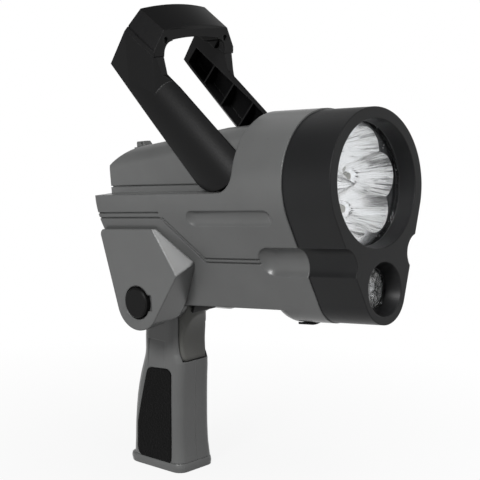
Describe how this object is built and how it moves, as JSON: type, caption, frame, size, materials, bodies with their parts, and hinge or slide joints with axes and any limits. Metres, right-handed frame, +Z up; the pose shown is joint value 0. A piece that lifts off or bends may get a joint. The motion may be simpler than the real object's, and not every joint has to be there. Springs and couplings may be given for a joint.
{
  "type": "pistol-grip spotlight",
  "caption": "Pistol-grip spotlight: round multi-cup lamp over a small second lamp, a folding carry handle, a swivelling lockable grip with rubber pads, a sprung trigger and a slide selector.",
  "frame": {"origin": "centre of the flat underside of the grip's base cap", "axes": "+Z up, +X forward along the beam seen from above, +Y to the left of the user"},
  "size_m": [0.2447, 0.109, 0.3652],
  "materials": {
    "body_grey": "matte",
    "bezel_black": "satin",
    "handle_black": "satin",
    "pad_rubber": "matte",
    "button_black": "satin",
    "lens_clear": "clear",
    "reflector_bright": "vacuum coated",
    "trigger_grey": "matte",
    "steel": "satin",
    "board_green": "matte",
    "chip_yellow": "gloss",
    "sink_alloy": "satin",
    "battery_blue": "matte",
    "inner_black": "matte"
  },
  "bodies": {
    "head": {"right_housing": "body_grey", "left_housing": "body_grey", "right_cheek": "body_grey", "left_cheek": "body_grey", "front_bezel": "bezel_black", "bezel_screws": "steel", "lens_gasket": "pad_rubber", "main_lens": "lens_clear", "main_reflector": "reflector_bright", "main_led_board": "board_green", "main_leds": "chip_yellow", "heat_sink": "sink_alloy", "spot_lens": "lens_clear", "spot_reflector": "reflector_bright", "spot_led_board": "board_green", "battery_pack": "battery_blue", "battery_tray": "inner_black", "driver_board": "board_green", "selector_switch": "inner_black", "front_foot": "pad_rubber", "housing_screws": "steel", "cheek_screws": "steel", "knuckle_shield": "button_black", "pivot_tube": "steel", "pivot_washers": "steel", "left_pivot_cap": "button_black", "lock_spring": "steel"},
    "handle": {"handle_axle": "steel", "right_handle_arm": "handle_black", "left_handle_arm": "handle_black", "handle_crossbar": "handle_black", "handle_screws": "steel"},
    "grip": {"right_grip_shell": "body_grey", "left_grip_shell": "body_grey", "grip_base_cap": "body_grey", "right_grip_pad": "pad_rubber", "left_grip_pad": "pad_rubber", "grip_screws": "steel", "trigger_switch": "inner_black", "trigger_spring": "steel"},
    "trigger": {"trigger": "trigger_grey"},
    "lock_button": {"lock_button": "button_black"},
    "selector": {"selector_slide": "body_grey"}
  },
  "joints": [
    {"name": "handle_fold", "type": "hinge", "parent": "head", "child": "handle", "pos_m": [0.08421, 0, 0.25619], "axis": [0, -1, 0], "range_deg": [0, 49.5]},
    {"name": "grip_swivel", "type": "hinge", "parent": "head", "child": "grip", "pos_m": [0.014, 0, 0.141], "axis": [0, 1, 0], "range_deg": [0, 83.5]},
    {"name": "trigger_pull", "type": "slide", "parent": "grip", "child": "trigger", "axis": [-1, 0, 0], "range_m": [0, 0.005], "stiffness_N_per_m": 900, "springref_m": -0.002, "deforming": ["trigger_spring"]},
    {"name": "lock_press", "type": "slide", "parent": "head", "child": "lock_button", "axis": [0, 1, 0], "range_m": [0, 0.003], "stiffness_N_per_m": 1200, "springref_m": -0.002, "deforming": ["lock_spring"]},
    {"name": "selector_shift", "type": "slide", "parent": "head", "child": "selector", "axis": [-0.9936, 0, -0.1132], "range_m": [0, 0.003]}
  ]
}
